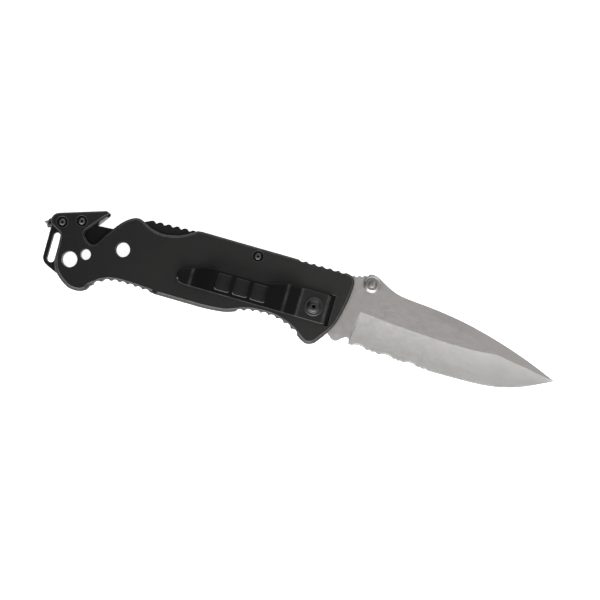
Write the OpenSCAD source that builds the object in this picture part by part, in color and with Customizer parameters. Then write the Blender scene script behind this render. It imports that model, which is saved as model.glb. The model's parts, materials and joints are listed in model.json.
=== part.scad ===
// Folding rescue knife with a back lock, open and locked, lying on its far side.
// +X runs along the handle towards the blade's tip, +Y towards the spine, +Z up through the thickness.
// Every piece is drawn about the blade's pivot. place() then moves it, so that the origin lies under
// the middle of the whole knife's bounding box, on the surface it rests on.

/* [Handle] */
// Thickness of each handle side
scale_t = 4.5; // [3.8:0.1:6]
// Gap between the two handle sides
gap_t = 3.6; // [3.5:0.1:4.2]
// Chamfer round the outer face of each handle side
edge_chamfer = 0.9; // [0.4:0.1:1.1]
// Height of the straight spine edge above the pivot
spine_y = 16; // [15.8:0.1:16.4]
// Depth of the straight belly edge below the pivot
belly_y = 12.5; // [12:0.1:13.5]
// Distance from one grip notch to the next
grip_pitch = 3.1; // [2.9:0.05:3.4]
// Radius of one grip notch
grip_r = 1.85; // [1.6:0.05:2.2]
// Depth of one grip notch
grip_depth = 0.7; // [0.3:0.05:0.9]
// Radius of the large round hole near the tail
big_hole_r = 3.1; // [2:0.05:3.2]
// Radius of the small round hole near the tail
small_hole_r = 2.1; // [1:0.05:2.2]
// Radius of the round hole behind the middle
middle_hole_r = 2.85; // [2:0.05:2.9]

/* [Blade] */
// Thickness of the blade
blade_t = 3.0; // [2.4:0.1:3.0]
// Distance from the pivot to the blade's tip along the handle
tip_reach = 98.2; // [96:0.1:99]
// Half thickness left at the cutting edge
edge_half = 0.15; // [0.1:0.05:0.3]
// Depth of the large serrations
serration_depth = 0.85; // [0.4:0.05:1]
// Outer radius of the thumb stud
stud_r = 3.4; // [2.6:0.1:3.6]
// Height of the thumb stud above the blade's face
stud_h = 4.4; // [2:0.1:4.6]

/* [Pivots and screws] */
// Radius of the sleeve the blade turns on
pivot_r = 3.0; // [2.4:0.1:3.4]
// Radial clearance of every turning fit
running_gap = 0.05; // [0.02:0.01:0.1]
// Thickness of each pivot washer
washer_t = 0.25; // [0.15:0.05:0.25]
// Radius of the sleeve the lock bar rocks on
rocker_r = 2.0; // [1.6:0.1:2.2]
// Head radius of the handle screws
screw_head_r = 1.6; // [1.3:0.1:1.8]

/* [Pocket clip] */
// Thickness of the clip's sheet
clip_t = 1.2; // [0.8:0.1:1.4]
// Height of the clip's raised part above its pad
clip_rise = 2.0; // [1.2:0.1:2.6]
// Length of each window in the clip
window_l = 5.4; // [3:0.1:5.6]

/* [Tail] */
// Width of the lanyard slot
lanyard_w = 2.7; // [2:0.1:3]
// Width of the sharpened strip on the line cutter
cutter_bevel = 1.4; // [0.8:0.1:1.8]
// Distance from the pivot to the glass breaker's point
breaker_reach = 110; // [109.4:0.1:110.6]

/* [Hidden] */
$fn = 96;

gap_low = scale_t;
gap_high = scale_t + gap_t;
handle_t = gap_high + scale_t;
mid_z = handle_t / 2;
blade_low = mid_z - blade_t / 2;
blade_high = mid_z + blade_t / 2;
cut = 1;                    // how far a cutting tool runs past the face it cuts
hump_top = 18.3;            // highest point of the blade's spine
lobe_low = 19.6;            // lowest point of the tail lobe
origin = [(breaker_reach - tip_reach) / 2, (lobe_low - hump_top) / 2, 0];

big_hole = [-96.2, -8.5];
small_hole = [-90.7, -5.0];
middle_hole = [-77.3, 0.75];
rocker = [-26.1, 12.8];
cutter_spots = [[-102.8, 4.7], [-95.6, 7.1]];
pin_spots = [[-79.2, 7.6], [-75.6, 11.0]];
stud_spot = [19.6, 14.6];
breaker_y = 3.0;
tang_r = 9.6;               // round back of the blade's tang
tang_gap = 0.4;             // space between the tang and the lock bar's hook
stud_shank_r = 1.5;
screw_shank_r = 1.0;
small_barrel_r = 1.6;
pin_r = 1.0;

// ---- Curves ----
function bend(a, b, c, d, t) =
  0.5 * (2 * b + (c - a) * t + (2 * a - 5 * b + 4 * c - d) * t * t + (3 * b - a - 3 * c + d) * t * t * t);
// A smooth curve through the points p. flow leaves out the last point, where another curve goes on.
function flow(p, steps = 3) = [
  for (i = [0 : len(p) - 2]) for (k = [0 : steps - 1])
    bend(p[max(i - 1, 0)], p[i], p[i + 1], p[min(i + 2, len(p) - 1)], k / steps)
];
function smooth(p, steps = 3) = concat(flow(p, steps), [p[len(p) - 1]]);
// Height at x of a smooth curve through points that run along X.
function span(p, x, i = 0) = (i >= len(p) - 2 || x < p[i + 1][0]) ? i : span(p, x, i + 1);
function slope(p, i) =
  let (a = p[max(i - 1, 0)], b = p[min(i + 1, len(p) - 1)]) (b[1] - a[1]) / (b[0] - a[0]);
function along(p, x) =
  let (i = span(p, x), w = p[i + 1][0] - p[i][0], t = (x - p[i][0]) / w)
  (2 * t ^ 3 - 3 * t ^ 2 + 1) * p[i][1] + (t ^ 3 - 2 * t ^ 2 + t) * w * slope(p, i)
  + (3 * t ^ 2 - 2 * t ^ 3) * p[i + 1][1] + (t ^ 3 - t ^ 2) * w * slope(p, i + 1);
function arc(c, r, from, to, n) = [
  for (k = [0 : n]) let (a = from + (to - from) * k / n) c + r * [cos(a), sin(a)]
];
function unit(v) = v / norm(v);
function left(v) = [-v[1], v[0]];
// An outline that runs anticlockwise, moved inwards by d.
function inset(p, d) = [
  for (i = [0 : len(p) - 1])
    let (
      n0 = left(unit(p[i] - p[(i + len(p) - 1) % len(p)])),
      n1 = left(unit(p[(i + 1) % len(p)] - p[i]))
    )
    p[i] + d * (n0 + n1) / max(1 + n0 * n1, 0.6)
];
// A strip of even thickness that follows the line p.
function line_normal(p, i) = left(unit(p[min(i + 1, len(p) - 1)] - p[max(i - 1, 0)]));
function strip(p, t) = concat(
  [for (i = [0 : len(p) - 1]) p[i] - line_normal(p, i) * t / 2],
  [for (i = [len(p) - 1 : -1 : 0]) p[i] + line_normal(p, i) * t / 2]
);

// ---- Outlines ----
nose_line = [[8, -8.4], [9.2, -6.2], [10.4, -3.3], [11.3, 0], [12, 3.5], [12.6, 7.5], [12.85, 10.8]];
nose_top = [[12.85, 10.8], [12.75, 13], [12, 14.7], [10.8, 15.6], [8.8, spine_y]];
scallop_line = [
  [-51.3, spine_y - 0.25], [-53.6, 14.2], [-55.8, 12.9], [-58.8, 11.75], [-64, 10.9], [-69, 11.8],
  [-72.5, 13.6], [-74.3, 14.2], [-76.2, 13.9], [-78.6, 12.5], [-81, 10.2], [-83.6, 6.8]
];
notch_line = [
  [-87.2, 1.3], [-88.1, 0.05], [-89.3, -0.5], [-90.8, -0.2], [-92.5, 1.2], [-93.3, 2.7], [-93, 4.1]
];
hook_tip = [[-86.6, 12], [-86.3, 12.6], [-86.6, 13.2], [-87.5, 13.5]];
tail_corner = [[-104.6, 7.9], [-106.3, 7], [-107.2, 5.5], [-107.2, 4.2], [-106.6, 2.9]];
tail_side = [[-103.2, 0.95], [-102.3, 0.1], [-102, -1.1]];
lobe_line = [
  [-101.6, -10], [-101.1, -12.4], [-99.6, -14.9], [-97, -17.3], [-94, -19.1], [-91.2, -lobe_low],
  [-88.6, -19.2], [-86.8, -18], [-85.9, -16.4]
];
rear_grip = [
  [-85.9, -16.4], [-84.2, -15.2], [-81.8, -13.4], [-79, -12.3], [-75, -11.8], [-68, -11.9], [-61, -12.4]
];
front_grip = [
  [-27.4, -9.8], [-25.3, -9], [-22.3, -8.4], [-19.3, -8.1], [-16, -8.1], [-13, -8.4], [-10, -9.2],
  [-7, -10.3], [-4, -11.9]
];
belly_end = [[-42, -belly_y], [-37, 0.3 - belly_y], [-32, 1 - belly_y], [-27.4, -9.8]];
front_lobe = [[-4, -11.9], [-2.2, -13.3], [0, -14.5], [1.8, -14.7], [4, -13.7], [6, -11.3], [8, -8.4]];

// The edge with the wide chamfer runs from the tail lobe round the nose to the hump. The tail's
// edge, with the hook and the cord notch, closes the outline.
broad_edge = concat(
  flow(lobe_line), flow(rear_grip, 2), [[-61, -belly_y]], flow(belly_end), flow(front_grip, 2),
  flow(front_lobe), flow(nose_line, 2), smooth(nose_top), smooth(scallop_line)
);
tail_edge = concat(smooth(notch_line), smooth(hook_tip), smooth(tail_corner), smooth(tail_side));
handle_outline = concat(broad_edge, tail_edge);

// Spots along a curve, one pitch apart, pushed out below or above it.
function grip_spots(line, from, to, push) = [
  for (x = [from : grip_pitch : to]) [x, along(line, x) + push]
];
grip_push = grip_r - grip_depth;
belly_notches = concat(
  grip_spots(rear_grip, -82.9, -62, -grip_push), grip_spots(front_grip, -26.8, -4.5, -grip_push)
);

spine_row = [
  [17.4, 17.9], [19, hump_top], [21, 17.9], [23.5, 16.6], [27, 14.8], [31, 13.4], [36, 12.75],
  [44, 12.1], [52, 11.2], [60, 9.85], [70, 7.5], [80, 4.6], [90, 1.1], [tip_reach, -2.2]
];
swedge_row = [
  [17.4, 17.6], [21, 17.6], [27, 14.5], [31, 13.1], [36, 12.4], [40, 11], [46, 9.3], [52, 8.1],
  [60, 6.4], [66, 4.7], [71, 3], [75, 1.75], [80, 0.8], [86, -0.1], [92, -1.2], [tip_reach, -2.27]
];
grind_row = [
  [17.4, 3.1], [25, 2.4], [32, 1.85], [42, 1.25], [52, 0.8], [62, 0.7], [68, 1], [74, 1.45],
  [80, 0.5], [86, -0.3], [92, -1.35], [tip_reach, -2.35]
];
edge_row = [
  [17.4, -10.4], [30, -11.05], [40, -11.55], [50, -11.85], [62, -11.75], [70, -11.45], [77, -10.6],
  [84, -8.8], [90, -6.35], [95, -3.9], [tip_reach, -2.45]
];
// Half thickness at the flat, and at the spine, along the blade.
flat_half = [[17.4, blade_t / 2], [68, blade_t / 2], [78, 1.3], [88, 0.85], [tip_reach, 0.2]];
spine_half = [[17.4, blade_t / 2], [38, blade_t / 2], [60, 0.95], [80, 0.6], [tip_reach, 0.15]];

blade_stations = 26;
// Edge and spine points of the ground part start at the plunge line.
function station_x(i) = 18.4 + (tip_reach - 18.4) * i / blade_stations;
function half_ring(x, side) = [
  [x, along(spine_row, x), side * min(along(spine_half, x), blade_t / 2)],
  [x, along(swedge_row, x), side * min(along(flat_half, x), blade_t / 2)],
  [x, along(grind_row, x), side * min(along(flat_half, x), blade_t / 2)],
  [x, along(edge_row, x), side * edge_half]
];
function turned(p) = [for (i = [len(p) - 1 : -1 : 0]) p[i]];
function plunge_half(side) = [
  [17.6, along(spine_row, 17.6), side * blade_t / 2], [17.6, 17.3, side * blade_t / 2],
  [17.9, 3, side * blade_t / 2], [16.4, -8.2, side * edge_half]
];
blade_rings = concat(
  [concat(plunge_half(1), turned(plunge_half(-1)))],
  [for (i = [0 : blade_stations]) let (x = station_x(i)) concat(half_ring(x, 1), turned(half_ring(x, -1)))]
);

tang_outline = concat(
  [[18.3, 3.2], [18.3, along(spine_row, 18.3)], [17.4, 17.9], [15.9, 17.1], [13.8, 16.4], [11.8, 15.8],
   [10.8, 15.4], [5.7, 15.4]],
  arc([0, 0], tang_r, acos(5.7 / tang_r), 300, 40),
  smooth([[6.2, -7.6], [7.4, -8], [8.6, -9.2], [10, -10.3], [11.3, -10.7], [12.6, -10.3], [13.8, -9.2],
   [15.2, -8.25], [16.4, -8.1], [16.7, -8.2]])
);

// The release end of the lock bar's spine, with a row of grooves for the thumb.
groove_pitch = 3.3;
groove_depth = 0.7;
groove_half = 1.1;
bar_top = concat(
  [[-51.3, 15.3], [-52.3, 15.5]],
  [for (k = [4 : -1 : 0]) let (x = -67.7 + groove_pitch * k, low = 14.5 + (x + 61) * 0.04)
    each [[x + groove_half, low + groove_depth], [x, low], [x - groove_half, low + groove_depth]]],
  [[-69.7, 14.8], [-70.7, 14.3], [-72.2, 13.5], [-72.5, 12.4], [-72.2, 10.6], [-71, 9.1], [-69, 8.8]]
);
hook_r = tang_r + tang_gap;
lock_bar_outline = concat(
  [[5, 15.4]], smooth(bar_top), [[-36, 9.3]],
  flow([[-8.5, 9.6], [-7.2, 10], [-6.2, 11.1], [-5, 11.5], [-3.9, 11.1], [-3.2, hook_r * cos(18.7)]]),
  turned(arc([0, 0], hook_r, 60, 108.7, 10))
);

plate_outline = concat(
  [[-89.1, 7.1]],
  smooth([[-85.85, 11.45], [-85.6, 12.2], [-85.95, 12.9], [-87.3, 13.2]]),
  smooth([[-104.9, 7], [-106.3, 5.6], [-106.85, 3.6], [-106.75, 0.6]]),
  smooth([[-106.65, -9.8], [-106.35, -11.2], [-105.3, -12.5], [-103.6, -13.5]]),
  [[-99.7, -15.2], [-98.9, -13.4], [-96.2, -12.95], [-92, -10.1], [-88.6, -7.5], [-86.5, -5.6],
   [-84.5, -3.4], [-83, 2], [-82.4, 7.6]]
);

spacer_outline = concat(
  smooth([[-73.8, 13.3], [-75.6, 13.2], [-77.8, 12], [-79.9, 10.2], [-81.6, 8.2], [-81.9, 6.4],
   [-81.2, 4.8]]),
  [[-73.8, 4.8]]
);
spring_line = smooth([
  [-76.4, 6.6], [-72, 6.5], [-66, 6.1], [-60, 6.6], [-54, 7.8], [-50.5, 8.6], [-48.5, 8.5], [-47.5, 7.9]
], 4);
spring_t = 0.6;

clip_edge = concat(
  [[8, -5.7], [8, 5.8]],
  smooth([[-11.5, 5.8], [-15, 5], [-18, 4.1], [-22, 3.6], [-30, 3.55], [-40, 3.5], [-44, 2.9], [-47.5, 1.9],
   [-51, 0.8], [-53, -0.3], [-54.1, -1.8], [-54.2, -3.7], [-53.3, -5.1], [-51.6, -5.7]])
);
pad_mid = handle_t + clip_t / 2;
foot_bend = 0.9;
clip_line = concat(
  [[4.4 + foot_bend, handle_t - 2]],
  arc([4.4, pad_mid - foot_bend], foot_bend, 0, 90, 4),
  smooth([[-4.6, pad_mid], [-5.8, pad_mid + 0.1], [-7, pad_mid + 0.5], [-10.2, pad_mid + clip_rise - 0.5],
   [-11.4, pad_mid + clip_rise - 0.1], [-12.6, pad_mid + clip_rise]]),
  smooth([[-38, pad_mid + clip_rise], [-42, pad_mid + clip_rise - 0.4], [-46, pad_mid + 0.45],
   [-48.6, pad_mid + 0.1], [-51, pad_mid + 0.5], [-55.5, pad_mid + 2]])
);
window_starts = [-38.8, -31.6, -24.5];
window_low = -3.9;
window_high = 2.3;

// ---- Shared shapes ----
module place() {
  translate(origin) children();
}

module plate(outline, low, high) {
  translate([0, 0, low]) linear_extrude(high - low) polygon(outline);
}

module bore(spot, r, low, high) {
  translate([spot[0], spot[1], low]) cylinder(r = r, h = high - low);
}

// Quads between neighbouring rings of n points, each split into two triangles.
function bands(rings, n) = [
  for (i = [0 : rings - 2]) for (k = [0 : n - 1])
    let (a = i * n + k, b = i * n + (k + 1) % n)
    each [[a, b + n, b], [a, a + n, b + n]]
];

// A bar of triangular section that cuts a chamfer along the broad edge where it meets the face at z.
// Its section points inwards for the upper face, and is mirrored for the lower one.
module chamfer_tool(width) {
  far = 0.5;
  deep = inset(handle_outline, width + far);
  out = inset(handle_outline, -far);
  count = len(broad_edge);
  last = 3 * (count - 1);
  rings = [
    for (i = [0 : count - 1])
      let (inner = deep[i], outer = out[i])
      each [[inner[0], inner[1], far], [outer[0], outer[1], far], [outer[0], outer[1], -width - far]]
  ];
  polyhedron(rings, concat(bands(count, 3), [[0, 1, 2], [last, last + 2, last + 1]]));
}

module star_socket(r, depth) {
  cylinder(r = r * 0.74, h = depth);
  for (a = [0 : 60 : 300]) rotate(a) translate([r * 0.72, 0, 0])
    cylinder(r = r * 0.26, h = depth, $fn = 24);
}

module round_window(x, length, low, high, corner, z, depth) {
  translate([x, low + corner, z]) cube([length, high - low - 2 * corner, depth]);
  translate([x + corner, low, z]) cube([length - 2 * corner, high - low, depth]);
  for (cx = [x + corner, x + length - corner]) for (cy = [low + corner, high - corner])
    translate([cx, cy, z]) cylinder(r = corner, h = depth, $fn = 32);
}

// ---- Handle sides ----
head_recess = 1.5;
pin_depth = 2;
module scale_body(low, high, outer, up) {
  difference() {
    plate(handle_outline, low, high);
    translate([0, 0, outer]) mirror([0, 0, up > 0 ? 0 : 1]) chamfer_tool(edge_chamfer);
    for (spot = belly_notches) bore(spot, grip_r, low - cut, high + cut);
    for (x = [-9.1 : grip_pitch + 0.15 : 8])
      bore([x, spine_y + grip_push], grip_r - 0.15, low - cut, high + cut);
    bore(big_hole, big_hole_r, low - cut, high + cut);
    bore(small_hole, small_hole_r, low - cut, high + cut);
    bore(middle_hole, middle_hole_r, low - cut, high + cut);
    bore([0, 0], pivot_r + running_gap, low - cut, high + cut);
    for (spot = concat([rocker], cutter_spots)) {
      bore(spot, screw_shank_r + 0.15, low - cut, high + cut);
      if (up > 0) bore(spot, screw_head_r + 0.5, high - head_recess, high + cut);
      else bore(spot, screw_head_r + 0.5, low - cut, low + head_recess);
    }
    for (spot = pin_spots)
      if (up > 0) bore(spot, pin_r + running_gap, low - cut, low + pin_depth);
      else bore(spot, pin_r + running_gap, high - pin_depth, high + cut);
    children();
  }
}

// The pocket that takes the clip's bent foot.
foot_slot = [2.9, 12.4, 2.4];
module clip_side_scale() {
  color([0.13, 0.13, 0.13]) place() scale_body(gap_high, handle_t, handle_t, 1)
    translate([4.4, 0.1 - foot_slot[1] / 2, handle_t - foot_slot[2]]) cube(foot_slot + [0, 0, cut]);
}

flange_t = 1.0;
module far_side_scale() {
  color([0.13, 0.13, 0.13]) place() scale_body(0, gap_low, 0, -1)
    bore([0, 0], pivot_r + 1.4, -cut, flange_t + 0.2);
}

// ---- Blade ----
module ground_part() {
  n = 8;
  count = len(blade_rings);
  last = (count - 1) * n;
  caps = [for (k = [0 : 2]) each [
    [k, k + 1, 6 - k], [k, 6 - k, 7 - k],
    [last + k, last + 6 - k, last + k + 1], [last + k, last + 7 - k, last + 6 - k]
  ]];
  translate([0, 0, mid_z]) polyhedron([for (r = blade_rings) each r], concat(bands(count, n), caps));
}

module serrations() {
  wide_r = 9 / serration_depth / 2 + serration_depth / 2;
  for (x = [21.2, 32.4, 42.2])
    translate([x, along(edge_row, x) - wide_r + serration_depth, blade_low - cut])
    cylinder(r = wide_r, h = blade_t + 2 * cut);
  for (x = [25.6, 27.7, 36.2, 38.3, 46.2, 48.4]) translate([x, along(edge_row, x) - 1.15, blade_low - cut])
    cylinder(r = 1.5, h = blade_t + 2 * cut, $fn = 48);
}

module blade() {
  color([0.66, 0.65, 0.64]) place() difference() {
    union() {
      plate(tang_outline, blade_low, blade_high);
      ground_part();
    }
    bore([0, 0], pivot_r + running_gap, blade_low - cut, blade_high + cut);
    bore(stud_spot, stud_shank_r + running_gap, blade_low - cut, blade_high + cut);
    for (spot = [[12.8, 16.35], [14.85, 17], [16.7, 17.75]])
      bore(spot, 0.7, blade_low - cut, blade_high + cut);
    serrations();
  }
}

stud_profile = [
  [0, 0], [stud_r - 0.5, 0], [stud_r, 0.5], [stud_r, 1.1], [stud_r - 0.3, 1.4], [stud_r - 0.8, 1.5],
  [stud_r - 0.8, 2.3], [stud_r - 0.4, 2.5], [stud_r - 0.4, 3.2], [stud_r - 0.9, 3.6], [1.5, 3.7],
  [1.3, stud_h - 0.2], [1.0, stud_h], [0, stud_h]
];
module thumb_stud_near() {
  color([0.8, 0.79, 0.77]) place() translate([stud_spot[0], stud_spot[1], blade_high]) {
    rotate_extrude() polygon(stud_profile);
    translate([0, 0, -blade_t]) cylinder(r = stud_shank_r, h = blade_t);
    translate([0, 0, -blade_t - 2]) cylinder(r = 0.9, h = 2.5);
  }
}

module thumb_stud_far() {
  color([0.8, 0.79, 0.77]) place() translate([stud_spot[0], stud_spot[1], blade_low]) difference() {
    mirror([0, 0, 1]) rotate_extrude() polygon(stud_profile);
    translate([0, 0, -2.1]) cylinder(r = 0.95, h = 3);
  }
}

// ---- Pivot ----
barrel_top = handle_t - 0.4;
barrel_bore_r = 1.9;
module pivot_barrel() {
  color([0.35, 0.35, 0.35]) place() difference() {
    union() {
      bore([0, 0], pivot_r + 1.3, 0.1, 0.1 + flange_t);
      bore([0, 0], pivot_r, 0.1, barrel_top);
    }
    bore([0, 0], barrel_bore_r, 4, barrel_top + cut);
    translate([0, 0, -cut]) star_socket(1.9, cut + 1.3);
  }
}

clip_top = handle_t + clip_t;
module pivot_screw() {
  color([0.3, 0.3, 0.3]) place() difference() {
    union() {
      bore([0, 0], barrel_bore_r - running_gap, 5, clip_top + 0.1);
      translate([0, 0, clip_top]) rotate_extrude() polygon([
        [0, 0], [3.7, 0], [3.7, 0.3], [3.4, 0.6], [2.5, 0.65], [2.3, 0.8], [2.2, 1.2], [1.9, 1.4], [0, 1.4]
      ]);
    }
    translate([0, 0, clip_top + 0.2]) star_socket(1.3, 2);
  }
}

module washer(low) {
  difference() {
    bore([0, 0], 6.5, low, low + washer_t);
    bore([0, 0], pivot_r + 0.1, low - cut, low + washer_t + cut);
  }
}

module pivot_washer_near() {
  color([0.72, 0.55, 0.3]) place() washer(gap_high - washer_t);
}

module pivot_washer_far() {
  color([0.72, 0.55, 0.3]) place() washer(gap_low);
}

// ---- Pocket clip ----
module pocket_clip() {
  color([0.12, 0.12, 0.12]) place() difference() {
    intersection() {
      translate([0, 10, 0]) rotate([90, 0, 0]) linear_extrude(20) polygon(strip(clip_line, clip_t));
      plate(clip_edge, handle_t - 3, handle_t + 6);
    }
    for (x = window_starts) round_window(x, window_l, window_low, window_high, 0.6, handle_t, 6);
    bore([0, 0], barrel_bore_r + 0.1, handle_t - cut, handle_t + 3);
  }
}

// ---- Lock ----
module lock_bar() {
  color([0.16, 0.16, 0.16]) place() difference() {
    plate(lock_bar_outline, mid_z - blade_t / 2, mid_z + blade_t / 2);
    bore(rocker, rocker_r + running_gap, 0, handle_t);
  }
}

module sleeve(spot, r) {
  difference() {
    bore(spot, r, gap_low, gap_high);
    bore(spot, screw_shank_r + running_gap, gap_low - cut, gap_high + cut);
  }
}

// A pair of handle screws, one from each side, that meet in a sleeve.
module screw_pair(spot) {
  for (up = [0, 1]) translate([spot[0], spot[1], mid_z]) mirror([0, 0, up]) difference() {
    union() {
      translate([0, 0, 0.2]) cylinder(r = screw_shank_r, h = gap_t / 2 + scale_t - head_recess);
      translate([0, 0, gap_t / 2 + scale_t - head_recess]) rotate_extrude()
        polygon([[0, 0], [screw_head_r, 0], [screw_head_r, 0.8], [screw_head_r - 0.3, 1.15], [0, 1.25]]);
    }
    translate([0, 0, gap_t / 2 + scale_t - head_recess + 0.5]) star_socket(0.95, 2);
  }
}

module lock_bar_barrel() {
  color([0.4, 0.4, 0.4]) place() sleeve(rocker, rocker_r);
}

module lock_bar_screws() {
  color([0.3, 0.3, 0.3]) place() screw_pair(rocker);
}

module lock_spring() {
  color([0.45, 0.45, 0.46]) place() plate(strip(spring_line, spring_t), mid_z - 1.3, mid_z + 1.3);
}

module back_spacer() {
  color([0.15, 0.15, 0.15]) place() difference() {
    plate(spacer_outline, gap_low, gap_high);
    for (spot = pin_spots) bore(spot, pin_r + running_gap, 0, handle_t);
    translate([-76.6, 6.15, 0]) cube([4, 0.9, handle_t]);
  }
}

module spacer_pins() {
  color([0.5, 0.5, 0.5]) place() for (spot = pin_spots)
    bore(spot, pin_r, gap_low - pin_depth + 0.2, gap_high + pin_depth - 0.2);
}

// ---- Tail ----
module slot_cut(x, y0, y1, w) {
  translate([x - w / 2, y0 + w / 2, 0]) cube([w, y1 - y0 - w, handle_t]);
  for (y = [y0 + w / 2, y1 - w / 2]) translate([x, y, 0]) cylinder(r = w / 2, h = handle_t, $fn = 48);
}

// Two wedges that thin the plate to a cutting edge along the line cutter's upper arm.
module cutter_wedges() {
  angle = atan2(12.1 - 7.1, 89.1 - 85.35);
  for (up = [0, 1]) translate([-89.1, 7.1, mid_z]) mirror([0, 0, up]) rotate([0, 0, angle - 90])
    rotate([-90, 0, 0]) translate([0, 0, -0.6]) linear_extrude(8)
      polygon([[0.01, -0.15], [0.6, -0.15], [0.6, -gap_t], [-cutter_bevel, -gap_t / 2 - 0.01]]);
}

module tail_plate() {
  color([0.17, 0.17, 0.17]) place() difference() {
    plate(plate_outline, gap_low, gap_high);
    slot_cut(-103.4, -11.6, 0.1, lanyard_w);
    bore(big_hole, big_hole_r, 0, handle_t);
    bore(small_hole, small_hole_r, 0, handle_t);
    for (spot = cutter_spots) bore(spot, small_barrel_r + running_gap, 0, handle_t);
    translate([-110, breaker_y, mid_z]) rotate([0, 90, 0]) cylinder(r = 1.75, h = 4.9);
    cutter_wedges();
  }
}

module cutter_barrels() {
  color([0.4, 0.4, 0.4]) place() for (spot = cutter_spots) sleeve(spot, small_barrel_r);
}

module cutter_screws() {
  color([0.3, 0.3, 0.3]) place() for (spot = cutter_spots) screw_pair(spot);
}

module along_tail(x) {
  translate([x, breaker_y, mid_z]) rotate([0, -90, 0]) children();
}

breaker_root = 105.2;
breaker_face = 108.5;
breaker_l = breaker_face - breaker_root;
module breaker_body() {
  color([0.2, 0.2, 0.2]) place() difference() {
    along_tail(-breaker_root) rotate_extrude() polygon([
      [0, 0], [1.7, 0], [1.7, breaker_l - 1.15], [1.95, breaker_l - 1.15], [1.95, breaker_l - 0.5],
      [1.35, breaker_l], [0, breaker_l]
    ]);
    along_tail(-106) cylinder(r = 0.85, h = 5);
  }
}

tip_root = 106.2;
module breaker_tip() {
  color([0.55, 0.55, 0.56]) place() along_tail(-tip_root) rotate_extrude() polygon([
    [0, 0], [0.8, 0], [0.8, breaker_face - tip_root], [1.1, breaker_face - tip_root],
    [0, breaker_reach - tip_root]
  ]);
}

clip_side_scale();
far_side_scale();
blade();
thumb_stud_near();
thumb_stud_far();
pivot_barrel();
pivot_screw();
pivot_washer_near();
pivot_washer_far();
pocket_clip();
lock_bar();
lock_bar_barrel();
lock_bar_screws();
lock_spring();
back_spacer();
spacer_pins();
tail_plate();
cutter_barrels();
cutter_screws();
breaker_body();
breaker_tip();
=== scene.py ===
"""Looks for a folding rescue knife with a back lock, open and locked, lying on its far side.

Lengths are written in millimetres about the blade's pivot, with +X towards the tip, +Y towards the
spine and +Z up. Shell.build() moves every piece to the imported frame, in metres.
"""

import json
import math

import bmesh
import bpy
import numpy as np
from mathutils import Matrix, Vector
from mathutils.geometry import delaunay_2d_cdt


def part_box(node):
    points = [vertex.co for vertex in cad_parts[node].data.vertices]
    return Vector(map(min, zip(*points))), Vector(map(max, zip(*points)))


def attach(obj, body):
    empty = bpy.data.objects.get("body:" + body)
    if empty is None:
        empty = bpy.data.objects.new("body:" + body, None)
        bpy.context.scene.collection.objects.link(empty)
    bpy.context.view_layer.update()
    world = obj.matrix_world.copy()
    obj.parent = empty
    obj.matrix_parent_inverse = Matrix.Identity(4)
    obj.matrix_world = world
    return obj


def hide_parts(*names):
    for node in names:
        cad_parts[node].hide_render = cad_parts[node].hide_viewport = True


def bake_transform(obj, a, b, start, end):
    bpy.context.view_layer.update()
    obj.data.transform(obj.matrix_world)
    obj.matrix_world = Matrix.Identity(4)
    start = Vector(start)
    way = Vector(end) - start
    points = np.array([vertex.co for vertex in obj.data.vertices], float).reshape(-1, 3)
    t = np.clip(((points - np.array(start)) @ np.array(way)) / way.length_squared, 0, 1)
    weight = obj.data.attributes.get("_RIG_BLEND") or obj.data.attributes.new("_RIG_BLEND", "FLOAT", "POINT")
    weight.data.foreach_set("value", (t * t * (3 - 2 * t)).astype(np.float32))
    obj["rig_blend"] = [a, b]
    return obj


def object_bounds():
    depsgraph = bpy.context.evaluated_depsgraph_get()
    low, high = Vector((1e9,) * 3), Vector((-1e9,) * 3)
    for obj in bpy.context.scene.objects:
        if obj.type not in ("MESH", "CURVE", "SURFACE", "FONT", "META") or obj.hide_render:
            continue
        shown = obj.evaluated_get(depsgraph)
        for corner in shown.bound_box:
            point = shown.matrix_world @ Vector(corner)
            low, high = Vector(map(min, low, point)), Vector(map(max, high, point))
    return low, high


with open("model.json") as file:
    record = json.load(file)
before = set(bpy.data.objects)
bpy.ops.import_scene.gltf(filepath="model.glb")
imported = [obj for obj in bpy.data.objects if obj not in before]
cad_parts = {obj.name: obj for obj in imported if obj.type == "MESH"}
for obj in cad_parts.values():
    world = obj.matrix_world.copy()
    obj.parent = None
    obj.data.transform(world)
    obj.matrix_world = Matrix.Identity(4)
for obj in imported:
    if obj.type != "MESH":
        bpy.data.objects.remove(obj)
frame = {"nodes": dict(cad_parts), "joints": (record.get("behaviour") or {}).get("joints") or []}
cad_low, cad_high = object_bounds()

MM = 0.001
joint_at = {j["name"]: j["pos_m"] for j in frame["joints"]}
PIVOT = np.array(joint_at["blade_fold"][:2]) / MM
ROCKER = np.array(joint_at["lock_release"][:2]) / MM - PIVOT


def level(node, end):
    """Height in millimetres of a CAD node's underside (end 0) or top (end 1)."""
    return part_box(node)[end].z / MM


BASE = level("far_side_scale", 0)
GAP_LOW = level("far_side_scale", 1)
GAP_HIGH = level("clip_side_scale", 0)
TOP = level("clip_side_scale", 1)
MID = (GAP_LOW + GAP_HIGH) / 2
BLADE_LOW, BLADE_HIGH = level("blade", 0), level("blade", 1)
BLADE_HALF = (BLADE_HIGH - BLADE_LOW) / 2
FINE = 0.06  # half width of the rounding on a machined edge

BIG_HOLE, BIG_R = (-96.2, -8.5), 3.1
SMALL_HOLE, SMALL_R = (-90.7, -5.0), 2.1
MIDDLE_HOLE, MIDDLE_R = (-77.3, 0.75), 2.85
CUTTER_SPOTS = [(-102.8, 4.7), (-95.6, 7.1)]
PIN_SPOTS = [(-79.2, 7.6), (-75.6, 11.0)]
STUD = (19.6, 14.6)
BREAKER_Y = 3.0


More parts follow.
